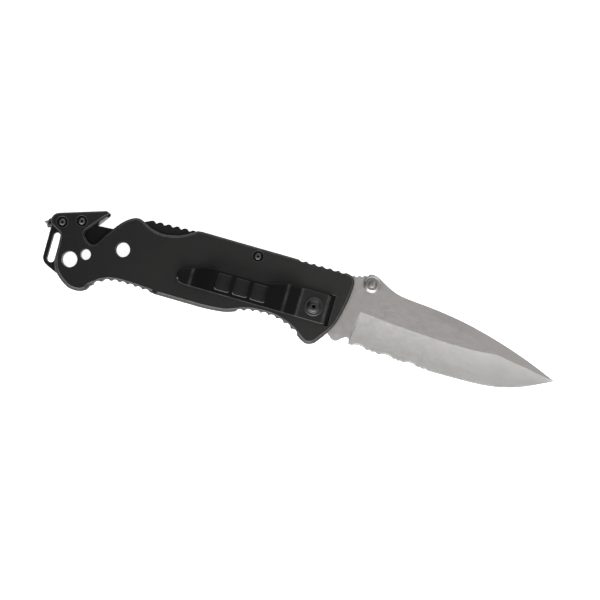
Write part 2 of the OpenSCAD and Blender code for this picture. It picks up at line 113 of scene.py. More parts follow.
# ---- Curves ----
def curve(points, steps=24):
    """A smooth line through the points."""
    p = np.array(points, float)
    a = np.vstack([p[:1], p, p[-1:]])
    t = np.linspace(0, 1, steps, endpoint=False)[:, None]
    out = []
    for i in range(len(p) - 1):
        q0, q1, q2, q3 = a[i : i + 4]
        out.append(
            0.5
            * (
                2 * q1
                + (q2 - q0) * t
                + (2 * q0 - 5 * q1 + 4 * q2 - q3) * t**2
                + (3 * q1 - q0 - 3 * q2 + q3) * t**3
            )
        )
    return np.vstack(out + [p[-1:]])


def join(*parts):
    """Lines laid end to end, with points that repeat left out."""
    p = np.vstack([np.array(part, float).reshape(-1, 2) for part in parts])
    keep = np.hypot(*(p - np.roll(p, 1, 0)).T) > 0.02
    return p[keep]


def even(path, step, closed=True):
    """The same line with its points one step apart."""
    p = np.vstack([path, path[:1]]) if closed else np.array(path, float)
    s = np.r_[0, np.cumsum(np.hypot(*np.diff(p, axis=0).T))]
    count = max(3, int(round(s[-1] / step))) + (0 if closed else 1)
    at = np.linspace(0, s[-1], count, endpoint=not closed)
    return np.column_stack([np.interp(at, s, p[:, 0]), np.interp(at, s, p[:, 1])])


def along(points, x):
    """Height at x of a smooth line through points that run along X."""
    p = np.array(points, float)
    x = np.asarray(x, float)
    i = np.clip(np.searchsorted(p[:, 0], x, side="right") - 1, 0, len(p) - 2)
    up, down = np.minimum(np.arange(len(p)) + 1, len(p) - 1), np.maximum(np.arange(len(p)) - 1, 0)
    m = (p[up, 1] - p[down, 1]) / (p[up, 0] - p[down, 0])
    w = p[i + 1, 0] - p[i, 0]
    t = (x - p[i, 0]) / w
    return (
        (2 * t**3 - 3 * t**2 + 1) * p[i, 1]
        + (t**3 - 2 * t**2 + t) * w * m[i]
        + (3 * t**2 - 2 * t**3) * p[i + 1, 1]
        + (t**3 - t**2) * w * m[i + 1]
    )


def arc(centre, r, start, end, count):
    a = np.radians(np.linspace(start, end, count + 1))
    return np.column_stack([centre[0] + r * np.cos(a), centre[1] + r * np.sin(a)])


def inward(p):
    """At each point of an anticlockwise outline, the step that moves it inwards by 1."""
    d = np.roll(p, -1, 0) - p
    d /= np.linalg.norm(d, axis=1)[:, None]
    n1 = np.column_stack([-d[:, 1], d[:, 0]])
    n0 = np.roll(n1, 1, 0)
    return (n0 + n1) / np.maximum(1 + (n0 * n1).sum(1), 0.6)[:, None]


def bites(p, spots, r):
    """How far a wall at each outline point moves inwards where round notches cut it."""
    n = inward(p)
    out = np.zeros(len(p))
    for spot in spots:
        v = p - np.array(spot)
        b = (v * n).sum(1)
        c = (v**2).sum(1) - r**2
        hit = c < 0
        out[hit] = np.maximum(out[hit], -b[hit] + np.sqrt(b[hit] ** 2 - c[hit]))
    return out


def unfolded(p, width, extra):
    """width, made smaller where an inset of width + extra would fold over itself."""
    n, width = inward(p), width.copy()
    step = np.roll(p, -1, 0) - p
    for _ in range(60):
        q = p + n * (width + extra)[:, None]
        folded = ((np.roll(q, -1, 0) - q) * step).sum(1) < 0.15 * (step**2).sum(1)
        if not folded.any():
            break
        spread = np.convolve(np.r_[folded[-4:], folded, folded[:4]], np.ones(9), "valid") > 0
        width[spread] = np.maximum(width[spread] - 0.02, 0.05)
    return width


def blur(values, reach, spacing):
    """Values along a closed line, smoothed over a distance."""
    k = max(1, int(reach / spacing))
    kernel = np.hanning(2 * k + 3)[1:-1]
    kernel /= kernel.sum()
    padded = np.r_[values[-k:], values, values[:k]]
    return np.convolve(padded, kernel, "valid")


# ---- Outlines shared by the pieces ----
SPINE_Y, BELLY_Y = 16.0, 12.5
GRIP_PITCH, GRIP_R, GRIP_DEPTH = 3.1, 1.85, 0.7
GRIP_PUSH = GRIP_R - GRIP_DEPTH
STEP = 0.2

nose_line = [(8, -8.4), (9.2, -6.2), (10.4, -3.3), (11.3, 0), (12, 3.5), (12.6, 7.5), (12.85, 10.8)]
nose_top = [(12.85, 10.8), (12.75, 13), (12, 14.7), (10.8, 15.6), (8.8, SPINE_Y)]
scallop_line = [
    (-51.3, SPINE_Y - 0.25), (-53.6, 14.2), (-55.8, 12.9), (-58.8, 11.75), (-64, 10.9), (-69, 11.8),
    (-72.5, 13.6), (-74.3, 14.2), (-76.2, 13.9), (-78.6, 12.5), (-81, 10.2), (-83.6, 6.8),
]  # fmt: skip
notch_line = [
    (-87.2, 1.3), (-88.1, 0.05), (-89.3, -0.5), (-90.8, -0.2), (-92.5, 1.2), (-93.3, 2.7), (-93, 4.1),
]  # fmt: skip
hook_tip = [(-86.6, 12), (-86.3, 12.6), (-86.6, 13.2), (-87.5, 13.5)]
tail_corner = [(-104.6, 7.9), (-106.3, 7), (-107.2, 5.5), (-107.2, 4.2), (-106.6, 2.9)]
tail_side = [(-103.2, 0.95), (-102.3, 0.1), (-102, -1.1)]
lobe_line = [
    (-101.6, -10), (-101.1, -12.4), (-99.6, -14.9), (-97, -17.3), (-94, -19.1), (-91.2, -19.6),
    (-88.6, -19.2), (-86.8, -18), (-85.9, -16.4),
]  # fmt: skip
rear_grip = [
    (-85.9, -16.4), (-84.2, -15.2), (-81.8, -13.4), (-79, -12.3), (-75, -11.8), (-68, -11.9), (-61, -12.4),
]  # fmt: skip
belly_end = [(-42, -BELLY_Y), (-37, -12.2), (-32, -11.5), (-27.4, -9.8)]
front_grip = [
    (-27.4, -9.8), (-25.3, -9), (-22.3, -8.4), (-19.3, -8.1), (-16, -8.1), (-13, -8.4), (-10, -9.2),
    (-7, -10.3), (-4, -11.9),
]  # fmt: skip
front_lobe = [(-4, -11.9), (-2.2, -13.3), (0, -14.5), (1.8, -14.7), (4, -13.7), (6, -11.3), (8, -8.4)]

# Each stretch of the handle's edge with the width of its chamfer.
handle_parts = [
    (lobe_line, 1.2), (rear_grip, 1.3), ([(-61, -BELLY_Y), (-42, -BELLY_Y)], 1.3), (belly_end, 1.3),
    (front_grip, 1.3), (front_lobe, 1.2), (nose_line, 0.9), (nose_top, 0.7),
    ([(8.8, SPINE_Y), (-51, SPINE_Y)], 0.55), (scallop_line, 0.75), ([(-83.6, 6.8), (-87.2, 1.3)], 0.5),
    (notch_line, 0.6), ([(-93, 4.1), (-86.6, 12)], 0.65), (hook_tip, 0.25),
    ([(-87.5, 13.5), (-104.6, 7.9)], 0.4), (tail_corner, 0.4), ([(-106.6, 2.9), (-103.2, 0.95)], 0.35),
    (tail_side, 0.45), ([(-102, -1.1), (-101.6, -10)], 0.7),
]  # fmt: skip
handle_raw = np.vstack([curve(part)[:-1] for part, _ in handle_parts])
raw_width = np.concatenate([np.full(len(curve(part)) - 1, width) for part, width in handle_parts])
handle_edge = even(handle_raw, STEP)
nearest = [int(np.argmin(((handle_raw - p) ** 2).sum(1))) for p in handle_edge]
handle_chamfer = unfolded(handle_edge, blur(raw_width[nearest], 2.5, STEP), 0.25)


def grip_spots(line, start, end, push):
    xs = np.arange(start, end + 1e-6, GRIP_PITCH)
    return [(x, y + push) for x, y in zip(xs, along(line, xs))]


belly_spots = grip_spots(rear_grip, -82.9, -62, -GRIP_PUSH)
belly_spots += grip_spots(front_grip, -26.8, -4.5, -GRIP_PUSH)
SPINE_PITCH, SPINE_R = GRIP_PITCH + 0.15, GRIP_R - 0.15
spine_spots = [(x, SPINE_Y + GRIP_PUSH) for x in np.arange(-9.1, 8, SPINE_PITCH)]
handle_bites = np.maximum(
    bites(handle_edge, belly_spots, GRIP_R), bites(handle_edge, spine_spots, SPINE_R)
)


# ---- Meshes ----
class Shell:
    """A closed mesh made of rings of points joined by strips, and flat caps with holes."""

    def __init__(self):
        self.at, self.faces, self.wear, self.finish = [], [], [], []

    def ring(self, points, wear=0.0):
        """Adds points and returns their numbers."""
        first = len(self.at)
        self.at += [tuple(map(float, p)) for p in points]
        self.wear += [wear] * len(points)
        return list(range(first, len(self.at)))

    def loop(self, xy, z, wear=0.0):
        z = np.broadcast_to(z, len(xy))
        return self.ring(np.column_stack([xy, z]), wear)

    def face(self, corners, finish=0):
        kept = [c for k, c in enumerate(corners) if c != corners[k - 1]]
        if len(kept) > 2:
            self.faces.append(kept)
            self.finish.append(finish)

    def strip(self, a, b, closed=True, finish=0):
        """Quads between two rings with as many points."""
        for k in range(len(a) if closed else len(a) - 1):
            n = (k + 1) % len(a)
            self.face([a[k], a[n], b[n], b[k]], finish)

    def stack(self, rings, finish=0):
        for a, b in zip(rings, rings[1:]):
            self.strip(a, b, finish=finish)

    def cap(self, outer, holes=(), down=False, finish=0):
        """A flat face inside the outer ring, less the holes."""
        loops = [outer, *holes]
        ids = [i for loop in loops for i in loop]
        flat = np.array([self.at[i][:2] for i in ids])
        edges, first = [], 0
        for loop in loops:
            n = len(loop)
            edges += [(first + k, first + (k + 1) % n) for k in range(n)]
            first += n
        made = delaunay_2d_cdt([Vector(p) for p in flat], edges, [], 1, 1e-6)
        source = [ids[old[0]] if old else None for old in made[3]]
        if None in source:
            crossed = [tuple(round(c, 2) for c in p) for p, i in zip(made[0], source) if i is None]
            raise ValueError(f"rings cross near {crossed[:8]}")
        corners = np.array(made[0])
        centres = np.array([corners[list(t)].mean(0) for t in made[2]])
        inside = np.zeros(len(centres), bool)
        for hole in holes:
            inside |= within(centres, np.array([self.at[i][:2] for i in hole]))
        for t, drop in zip(made[2], inside):
            if not drop:
                t = [source[i] for i in t]
                self.face(t[::-1] if down else t, finish)

    def pole(self, ring, point, finish=0, wear=0.0):
        """Closes a ring to one point."""
        tip = self.ring([point], wear)[0]
        for k in range(len(ring)):
            self.face([ring[k], ring[(k + 1) % len(ring)], tip], finish)

    def build(self, name, body, nodes, materials, slot, sharp=28.0, remap=None):
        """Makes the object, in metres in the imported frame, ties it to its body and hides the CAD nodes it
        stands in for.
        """
        mesh = bpy.data.meshes.new(name)
        mesh.from_pydata(self.at, [], self.faces)
        wear = mesh.attributes.new("wear", "FLOAT", "POINT")
        wear.data.foreach_set("value", self.wear)
        mesh.polygons.foreach_set("material_index", self.finish)
        bm = bmesh.new()
        bm.from_mesh(mesh)
        bmesh.ops.recalc_face_normals(bm, faces=bm.faces)
        if remap:
            remap(bm)
        for v in bm.verts:
            v.co = Vector(((v.co.x + PIVOT[0]) * MM, (v.co.y + PIVOT[1]) * MM, v.co.z * MM))
        bm.to_mesh(mesh)
        bm.free()
        mesh.shade_smooth()
        mesh.set_sharp_from_angle(angle=math.radians(sharp))
        for m in materials:
            mesh.materials.append(m)
        obj = bpy.data.objects.new(name, mesh)
        bpy.context.scene.collection.objects.link(obj)
        even_out = obj.modifiers.new("face_weights", "WEIGHTED_NORMAL")
        even_out.keep_sharp = True
        even_out.weight = 80
        if body:
            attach(obj, body)
        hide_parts(*nodes)
        return obj


def within(points, polygon):
    """Which points lie inside a polygon."""
    a, b = polygon, np.roll(polygon, -1, 0)
    x, y = points[:, :1], points[:, 1:]
    cross = (a[:, 1] > y) != (b[:, 1] > y)
    rise = np.where(b[:, 1] == a[:, 1], 1e-12, b[:, 1] - a[:, 1])
    left = x < (b[:, 0] - a[:, 0]) * (y - a[:, 1]) / rise + a[:, 0]
    return (cross & left).sum(1) % 2 == 1


def round_shape(centre, r, count=72):
    return lambda grow: arc(centre, r + grow, 0, 360, count)[:-1]


def box_shape(x0, x1, y0, y1, corner):
    """A rectangle with round corners; grow moves its sides outwards."""

    def shape(grow):
        r = max(corner + grow, 0.02)
        a, b, c, d = x0 - grow + r, x1 + grow - r, y0 - grow + r, y1 + grow - r
        return np.vstack([
            arc((b, d), r, 0, 90, 10), arc((a, d), r, 90, 180, 10),
            arc((a, c), r, 180, 270, 10), arc((b, c), r, 270, 360, 10),
        ])  # fmt: skip

    return shape


def well(shell, shape, profile):
    """The wall of a hole, from the upper face down: a ring for each (grow, z, mark), mark being the wear and
    painted light value.
    """
    rings = [shell.loop(shape(grow), z, wear) for grow, z, wear in profile]
    shell.stack(rings)
    return rings[0], rings[-1]


DARK = -0.85  # mark of a deep or unlit wall: painted shade, mixed towards near black


def through(low, high, rim=0.15, edge=1.0, wall=0.0):
    """Profile of a hole that goes right through, with both rims broken.

    edge and wall are the marks of the rims and of the wall between them; a negative wall mark paints the
    wall dark as painted shade.
    """
    return [
        (rim + 0.15, high, 0), (rim, high, edge), (0, high - rim, edge), (0, high - rim - 0.2, wall),
        (0, low + rim + 0.2, wall), (0, low + rim, edge), (rim, low, edge), (rim + 0.15, low, 0),
    ]  # fmt: skip


def rim_rings(shell, edge, low, high, upper, lower, bite, fade):
    """Rings up the side of a plate, from its lower face to its upper one.

    upper and lower are (width, drop) of the two rims. bite moves the wall inwards.
    """
    n = inward(edge)
    bite = np.broadcast_to(np.asarray(bite, float), len(edge))

    def at(offset, z, wear):
        offset = np.broadcast_to(offset, len(edge))
        return shell.loop(edge + n * offset[:, None], z, wear)

    lw, ld = (np.broadcast_to(np.asarray(v, float), len(edge)) for v in lower)
    uw, ud = (np.broadcast_to(np.asarray(v, float), len(edge)) for v in upper)
    top_in = np.maximum(uw, bite + 0.08)
    low_in = lw + bite
    wall_top = high - ud * (top_in - bite) / np.maximum(top_in, 1e-6)
    wall_top = np.where(bite + 0.08 >= uw, high - 0.08, wall_top)
    wall_low = low + ld
    span, rise = top_in - bite, high - wall_top
    return [
        at(low_in + fade, low, 0.0),
        at(low_in + FINE, low, 1.0),
        at(low_in * 0.4 + bite * 0.6, wall_low * 0.6 + low * 0.4, 1.0),
        at(bite, wall_low + FINE, 1.0),
        at(bite, wall_low + (wall_top - wall_low) * 0.25, 0.0),
        at(bite, wall_top - (wall_top - wall_low) * 0.25, 0.0),
        at(bite, wall_top - FINE, 1.0),
        at(bite + span * 0.08, wall_top + rise * 0.08, 1.0),
        at(bite + span * 0.35, wall_top + rise * 0.35, 0.0),
        at(bite + span * 0.65, wall_top + rise * 0.65, 0.0),
        at(top_in - span * 0.06, high - rise * 0.06, 1.0),
        at(top_in + FINE, high, 1.0),
        at(top_in + FINE + fade, high, 0.0),
    ]


def plate(edge, low, high, upper=(0.12, 0.12), lower=(0.12, 0.12), bite=0.0, wells=(), fade=0.15):
    """A plate with rimmed edges. wells are (shape, profile, goes_through)."""
    shell = Shell()
    rings = rim_rings(shell, edge, low, high, upper, lower, bite, fade)
    shell.stack(rings)
    tops, bottoms = [], []
    for shape, profile, goes in wells:
        first, last = well(shell, shape, profile)
        tops.append(first)
        if goes:
            bottoms.append(last)
        else:
            shell.cap(last)
    shell.cap(rings[-1], tops)
    shell.cap(rings[0], bottoms, down=True)
    return shell


# ---- Materials ----
class Nodes:
    """A material's node tree, with short calls to add and link nodes."""

    def __init__(self, name):
        self.material = bpy.data.materials.new(name)
        self.material.use_nodes = True
        self.tree = self.material.node_tree
        self.shader = self.tree.nodes["Principled BSDF"]
        self.coords = self.add("ShaderNodeTexCoord").outputs["Object"]

    def add(self, kind, **values):
        node = self.tree.nodes.new(kind)
        for key, value in values.items():
            if hasattr(node, key):
                setattr(node, key, value)
            else:
                node.inputs[key.replace("_", " ").title()].default_value = value
        return node

    def link(self, a, b):
        self.tree.links.new(a, b)

    def noise(self, scale, detail=3.0, stretch=(1, 1, 1), roughness=0.55):
        mapping = self.add("ShaderNodeMapping")
        mapping.inputs["Scale"].default_value = stretch
        self.link(self.coords, mapping.inputs["Vector"])
        noise = self.add("ShaderNodeTexNoise")
        noise.inputs["Scale"].default_value = scale
        noise.inputs["Detail"].default_value = detail
        noise.inputs["Roughness"].default_value = roughness
        self.link(mapping.outputs["Vector"], noise.inputs["Vector"])
        return noise.outputs["Fac"]

    def remap(self, value, low, high, to_low=0.0, to_high=1.0):
        node = self.add("ShaderNodeMapRange")
        for key, number in (("From Min", low), ("From Max", high), ("To Min", to_low), ("To Max", to_high)):
            node.inputs[key].default_value = number
        self.link(value, node.inputs["Value"])
        return node.outputs["Result"]

    def math(self, kind, a, b):
        node = self.add("ShaderNodeMath", operation=kind)
        for socket, value in zip(node.inputs, (a, b)):
            if isinstance(value, float):
                socket.default_value = value
            else:
                self.link(value, socket)
        return node.outputs["Value"]

    def mix(self, factor, a, b):
        node = self.add("ShaderNodeMix", data_type="RGBA")
        self.link(factor, node.inputs["Factor"])
        for socket, value in ((node.inputs["A"], a), (node.inputs["B"], b)):
            if isinstance(value, tuple):
                socket.default_value = (*value, 1)
            else:
                self.link(value, socket)
        return node.outputs["Result"]

    def bump(self, height, strength, distance, under=None):
        node = self.add("ShaderNodeBump")
        node.inputs["Strength"].default_value = strength
        node.inputs["Distance"].default_value = distance * MM
        self.link(height, node.inputs["Height"])
        if under is not None:
            self.link(under, node.inputs["Normal"])
        return node.outputs["Normal"]


def metal(
    name, colour, rub_and_highlight_colour, metallic, rough, speckle=0.0, grain=None, wear=0.6, shine=0.5, tint=0.12, fade=None
):  # fmt: skip
    """A machined or coated metal: cloudy colour, worn edges (some marks there are painted highlights),
    hollows painted near black as painted shade, fine speckle and grain.

    grain is (stretch, strength). fade is (x, tone, x, tone): the colour's strength along X.
    Noise scales are per metre, so 2500 is about 0.4 mm.
    """
    t = Nodes(name)
    cloud = t.noise(90.0, 4.0)
    fine = t.noise(1400.0, 3.0)
    spread = t.remap(t.math("ADD", t.math("MULTIPLY", cloud, 0.6), t.math("MULTIPLY", fine, 0.4)), 0.3, 0.7)
    base = t.mix(spread, tuple(c * (1 - tint) for c in colour), tuple(c * (1 + tint) for c in colour))
    if fade:
        x_low, tone_low, x_high, tone_high = fade
        split = t.add("ShaderNodeSeparateXYZ")
        t.link(t.coords, split.inputs[0])
        tone = t.add("ShaderNodeVectorMath", operation="SCALE")
        t.link(base, tone.inputs[0])
        t.link(t.remap(split.outputs["X"], x_low, x_high, tone_low, tone_high), tone.inputs["Scale"])
        base = tone.outputs["Vector"]
    # Marks above zero rub the colour lighter, for wear and for painted highlights; marks below zero mix in
    # near black (0.003), painted shade in deep hollows and sockets.
    mark = t.add("ShaderNodeAttribute", attribute_name="wear").outputs["Fac"]
    edge = t.math("MAXIMUM", mark, 0.0)
    hollow = t.math("MULTIPLY", mark, -1.0)
    patchy = t.remap(t.noise(420.0, 4.0, roughness=0.7), 0.42, 0.66, 0.4, 1.0)
    rub_and_highlight = t.math("MULTIPLY", t.math("MULTIPLY", t.math("POWER", edge, 2.0), patchy), wear)
    t.link(t.mix(hollow, t.mix(rub_and_highlight, base, rub_and_highlight_colour), (0.003, 0.003, 0.003)), t.shader.inputs["Base Color"])
    t.shader.inputs["Metallic"].default_value = metallic
    t.shader.inputs["Specular IOR Level"].default_value = shine
    normal = None
    matte = t.remap(t.noise(700.0, 4.0), 0.3, 0.7, rough - 0.05, rough + 0.05)
    if grain:
        stretch, strength = grain
        lines = t.noise(1.0, 2.0, stretch, 0.7)
        normal = t.bump(lines, strength, 0.02)
        matte = t.math("ADD", matte, t.remap(lines, 0.3, 0.7, -0.05, 0.05))
    if speckle:
        normal = t.bump(t.noise(5200.0, 2.0), speckle, 0.02, normal)
    if normal is not None:
        t.link(normal, t.shader.inputs["Normal"])
    t.link(matte, t.shader.inputs["Roughness"])
    return t.material


anodised = metal(
    "anodised_black", (0.0118, 0.0114, 0.0112), (0.16, 0.16, 0.16), 0.0, 0.46,
    speckle=0.3, wear=0.5, shine=0.28, fade=(-0.1, 0.3, 0.0, 1.45),
)  # fmt: skip
flat_steel = metal(
    "blade_flat", (0.522, 0.497, 0.49), (0.7, 0.7, 0.7), 1.0, 0.40, speckle=0.03,
    grain=((260, 2600, 260), 0.03), tint=0.02,
)  # fmt: skip
ground_steel = metal(
    "blade_ground", (0.525, 0.52, 0.511), (0.75, 0.75, 0.75), 1.0, 0.4, speckle=0.03,
    grain=((200, 2400, 200), 0.03), tint=0.02,
)  # fmt: skip
# A much darker copy of the blade steel for the spine, tip end, tang edge and bore: painted shade along the
# spine's edge.
spine_steel_painted_shade = metal(
    "blade_spine_painted_shade", (0.2, 0.195, 0.19), (0.7, 0.7, 0.7), 1.0, 0.42,
    grain=((3000, 300, 300), 0.2), tint=0.05,
)  # fmt: skip
honed_steel = metal(
    "honed_edge", (0.72, 0.72, 0.71), (0.8, 0.8, 0.8), 1.0, 0.25,
    grain=((2600, 500, 900), 0.1), tint=0.03,
)  # fmt: skip
cutter_steel = metal(
    "cutter_edge", (0.3, 0.3, 0.29), (0.5, 0.5, 0.5), 0.5, 0.34,
    grain=((2600, 500, 900), 0.08), tint=0.04,
)  # fmt: skip
black_steel = metal(
    "blacked_steel", (0.008, 0.0077, 0.0076), (0.2, 0.2, 0.2), 0.0, 0.42,
    speckle=0.2, wear=0.45, shine=0.35,
)  # fmt: skip
# A darker copy of the blacked steel for the tail plate: painted shade for the deep cord notch.
tail_black_painted_shade = metal(
    "tail_black_painted_shade", (0.005, 0.005, 0.005), (0.4, 0.4, 0.4), 0.0, 0.4,
    speckle=0.1, wear=0.9, shine=0.2,
)  # fmt: skip
clip_black = metal(
    "clip_black", (0.008, 0.0078, 0.0076), (0.2, 0.2, 0.2), 0.0, 0.36,
    speckle=0.03, wear=0.3, shine=0.36,
)  # fmt: skip
# A darker copy of the clip's black for its raised arm: painted shade.
clip_arm_painted_shade = metal(
    "clip_arm_painted_shade", (0.0034, 0.003, 0.0032), (0.2, 0.2, 0.2), 0.0, 0.38, speckle=0.03, wear=0.35, shine=0.12
)  # fmt: skip
stud_steel = metal(
    "stud_steel", (0.36, 0.355, 0.35), (0.8, 0.8, 0.8), 1.0, 0.34,
    grain=((900, 900, 2600), 0.08), tint=0.05,
)  # fmt: skip
pivot_black = metal(
    "pivot_black", (0.062, 0.062, 0.062), (0.3, 0.3, 0.3), 1.0, 0.38,
    grain=((900, 900, 2200), 0.05), wear=0.4,
)  # fmt: skip
screw_black = metal(
    "screw_black", (0.11, 0.11, 0.11), (0.3, 0.3, 0.3), 1.0, 0.36,
    grain=((900, 900, 2200), 0.05), wear=0.5,
)  # fmt: skip
pin_steel = metal(
    "pin_steel", (0.5, 0.5, 0.5), (0.6, 0.6, 0.6), 1.0, 0.35,
    grain=((300, 300, 2600), 0.1),
)  # fmt: skip
spring_steel = metal(
    "spring_steel", (0.42, 0.43, 0.45), (0.6, 0.6, 0.6), 1.0, 0.3,
    grain=((300, 2600, 2600), 0.1),
)  # fmt: skip
bronze = metal(
    "washer_bronze", (0.5, 0.33, 0.14), (0.7, 0.5, 0.25), 1.0, 0.35,
    grain=((1200, 1200, 300), 0.1),
)  # fmt: skip
carbide = metal("carbide", (0.30, 0.30, 0.31), (0.5, 0.5, 0.5), 1.0, 0.38, speckle=0.2)


# ---- Handle sides ----
SHANK_R, HEAD_R, HEAD_RECESS = 1.15, 2.1, 1.5  # the screws' holes
PIVOT_BORE, FLANGE_WELL = 3.05, 4.4  # the pivot's holes
FOOT_SLOT_DEPTH = 2.4


def recess(r, depth, low, high, inner):
    """A flat-bottomed recess at the upper face, with a narrower hole on through."""
    rim = 0.12
    return [
        (rim + 0.15, high, 0), (rim, high, 1), (0, high - rim, 1), (0, high - rim - 0.2, 0),
        (0, high - depth, 0), (inner - r, high - depth, 0), (inner - r, low, 0),
    ]  # fmt: skip


def handle_side(outer_up):
    """One handle side, drawn with its outer face up and turned over for the far side."""
    low, high = (GAP_HIGH, TOP) if outer_up else (BASE, GAP_LOW)
    # The holes' walls get the DARK mark: painted shade.
    deep = through(low, high, 0.2, 0.3, DARK)
    wells = [
        (round_shape(BIG_HOLE, BIG_R, 96), deep, True),
        (round_shape(SMALL_HOLE, SMALL_R), deep, True),
        (round_shape(MIDDLE_HOLE, MIDDLE_R, 96), deep, True),
    ]
    for spot in [tuple(ROCKER), *CUTTER_SPOTS]:
        wells.append((round_shape(spot, HEAD_R), recess(HEAD_R, HEAD_RECESS, low, high, SHANK_R), True))
    if outer_up:
        slot = box_shape(4.4, 7.3, -6.1, 6.3, 0.15)  # takes the clip's bent foot
        # The slot's walls and floor get the DARK mark: painted shade, which makes the slot read black.
        pocket = [
            (0.25, high, 0), (0.1, high, 1), (0, high - 0.1, 1), (0, high - 0.4, DARK),
            (0, high - FOOT_SLOT_DEPTH, DARK),
        ]  # fmt: skip
        wells += [(slot, pocket, False), (round_shape((0, 0), PIVOT_BORE), through(low, high, 0.1), True)]
    else:
        sunk = recess(FLANGE_WELL, 1.2, low, high, PIVOT_BORE)
        wells.append((round_shape((0, 0), FLANGE_WELL), sunk, True))
    shell = plate(
        handle_edge, low, high, (handle_chamfer, handle_chamfer), (0.12, 0.12), handle_bites, wells
    )
    if not outer_up:
        shell.at = [(x, y, low + high - z) for x, y, z in shell.at]
    return shell


for name, node, outer_up in (
    ("near_side", "clip_side_scale", True),
    ("far_side", "far_side_scale", False),
):
    handle_side(outer_up).build(name, "handle", [node], [anodised], "anodised_aluminium")


# ---- Blade ----
TIP = 98.2
spine_row = [
    (17.4, 17.9), (19, 18.3), (21, 17.9), (23.5, 16.6), (27, 14.8), (31, 13.4), (36, 12.75), (44, 12.1),
    (52, 11.2), (60, 9.85), (70, 7.5), (80, 4.6), (90, 1.1), (TIP, -2.2),
]  # fmt: skip
swedge_row = [
    (17.4, 17.6), (21, 17.6), (27, 14.5), (31, 13.1), (36, 12.4), (40, 11), (46, 9.3), (52, 8.1),
    (60, 6.4), (66, 4.7), (71, 3), (75, 1.75), (80, 0.8), (86, -0.1), (92, -1.2), (TIP, -2.27),
]  # fmt: skip
grind_row = [
    (17.4, 3.1), (25, 2.4), (32, 1.85), (42, 1.25), (52, 0.8), (62, 0.7), (68, 1), (74, 1.45),
    (80, 0.5), (86, -0.3), (92, -1.35), (TIP, -2.35),
]  # fmt: skip
edge_row = [
    (17.4, -10.4), (30, -11.05), (40, -11.55), (50, -11.85), (62, -11.75), (70, -11.45), (77, -10.6),
    (84, -8.8), (90, -6.35), (95, -3.9), (TIP, -2.45),
]  # fmt: skip
flat_half = [(17.4, BLADE_HALF), (68, BLADE_HALF), (78, 1.2), (84, 0.88), (90, 0.55), (TIP, 0.16)]
spine_half = [(17.4, BLADE_HALF), (38, BLADE_HALF), (60, 0.95), (80, 0.5), (TIP, 0.12)]
PLUNGE_TOP, PLUNGE_LOW = (18.2, 3.05), (16.4, -8.2)
GRIND_ROWS = 9
SPINE_BREAK = 0.16  # the broken corner along the blade's spine
HONE = 0.55  # width of the honed bevel at the edge
wide_scallops, small_scallops = [21.2, 32.4, 42.2], [25.6, 27.7, 36.2, 38.3, 46.2, 48.4]


def scallop(x):
    """How far the serrations lift the edge at x."""
    lift = np.zeros_like(x)
    base = along(edge_row, x)
    r, depth = 5.72, 0.85
    for centre in wide_scallops:
        y = along(edge_row, centre) + depth - r
        lift = np.maximum(lift, y + np.sqrt(np.maximum(r**2 - (x - centre) ** 2, 0)) - base)
    for centre in small_scallops:
        y = along(edge_row, centre) - 1.15
        lift = np.maximum(lift, y + np.sqrt(np.maximum(1.5**2 - (x - centre) ** 2, 0)) - base)
    return np.maximum(lift, 0)


def ground_depth(share):
    """Share of the grind's full depth reached at a share of the way to the edge.

    The wheel leaves a slight hollow under the grind line, and a flat towards the edge.
    """
    turn, ease = 0.8, 0.6
    full = turn * (1 - ease / 2) + (1 - ease) * (1 - turn)
    upper = np.minimum(share, turn)
    return (upper - ease * upper**2 / (2 * turn) + (1 - ease) * (share - upper)) / full


def blade_section(x0, side):
    """Points of one face of the blade from its spine to its edge, near station x0."""
    lean = np.clip((30 - x0) / 11.8, 0, 1) ** 1.5
    slope = (PLUNGE_TOP[0] - PLUNGE_LOW[0]) / (PLUNGE_TOP[1] - PLUNGE_LOW[1])
    upper = np.linspace(0, 0.72, GRIND_ROWS)
    share = np.r_[0, 0, 0, upper, 0.9, 1.0]
    ys = float(along(grind_row, x0)) * (1 - share) + float(along(edge_row, x0)) * share
    x = x0 + lean * slope * np.minimum(ys - PLUNGE_TOP[1], 0)
    x[:3] = x0
    half, thin = np.minimum(along(flat_half, x), BLADE_HALF), np.minimum(along(spine_half, x), BLADE_HALF)
    top, mid, grind, base = (along(row, x) for row in (spine_row, swedge_row, grind_row, edge_row))
    lift = scallop(x)
    hone = HONE * np.clip((TIP - x) / 12, 0.15, 1) + (1.6 * lift if side < 0 else 0.3 * lift)
    y = grind + share * (base - grind)
    y[0], y[1], y[2] = top[0], top[0] - SPINE_BREAK, min(mid[2], top[2] - SPINE_BREAK - 0.02)
    y[-2] = min(base[-2] + lift[-2] + hone[-2], 0.24 * grind[-2] + 0.76 * base[-2])
    y[-1] = base[-1] + lift[-1]
    h = 0.05 + (half - 0.05) * (1 - ground_depth((grind - y) / (grind - base)))
    h[0], h[1], h[2], h[-1] = max(thin[0] - SPINE_BREAK, 0.05), thin[1], half[2], 0.03
    return np.column_stack([x, y, MID + side * h])


def plunge_section(side):
    """The same rows where the grind runs out into the flat."""
    t = np.r_[np.linspace(0, 0.72, GRIND_ROWS), 0.9, 1.0][:, None]
    line = np.array(PLUNGE_TOP) + t * (np.array(PLUNGE_LOW) - np.array(PLUNGE_TOP))
    spine = float(along(spine_row, 18.2))
    top = [(18.2, spine), (18.2, spine - SPINE_BREAK), (18.2, 17.55)]
    xy = np.vstack([top, line])
    return np.column_stack([xy, np.full(len(xy), MID + side * BLADE_HALF)])


TANG_R, TANG_FRONT = 9.6, 5.7  # the tang's round back, and where its flat shoulder meets it
JIMP_R = 0.7  # radius of the small cuts on the tang's spine


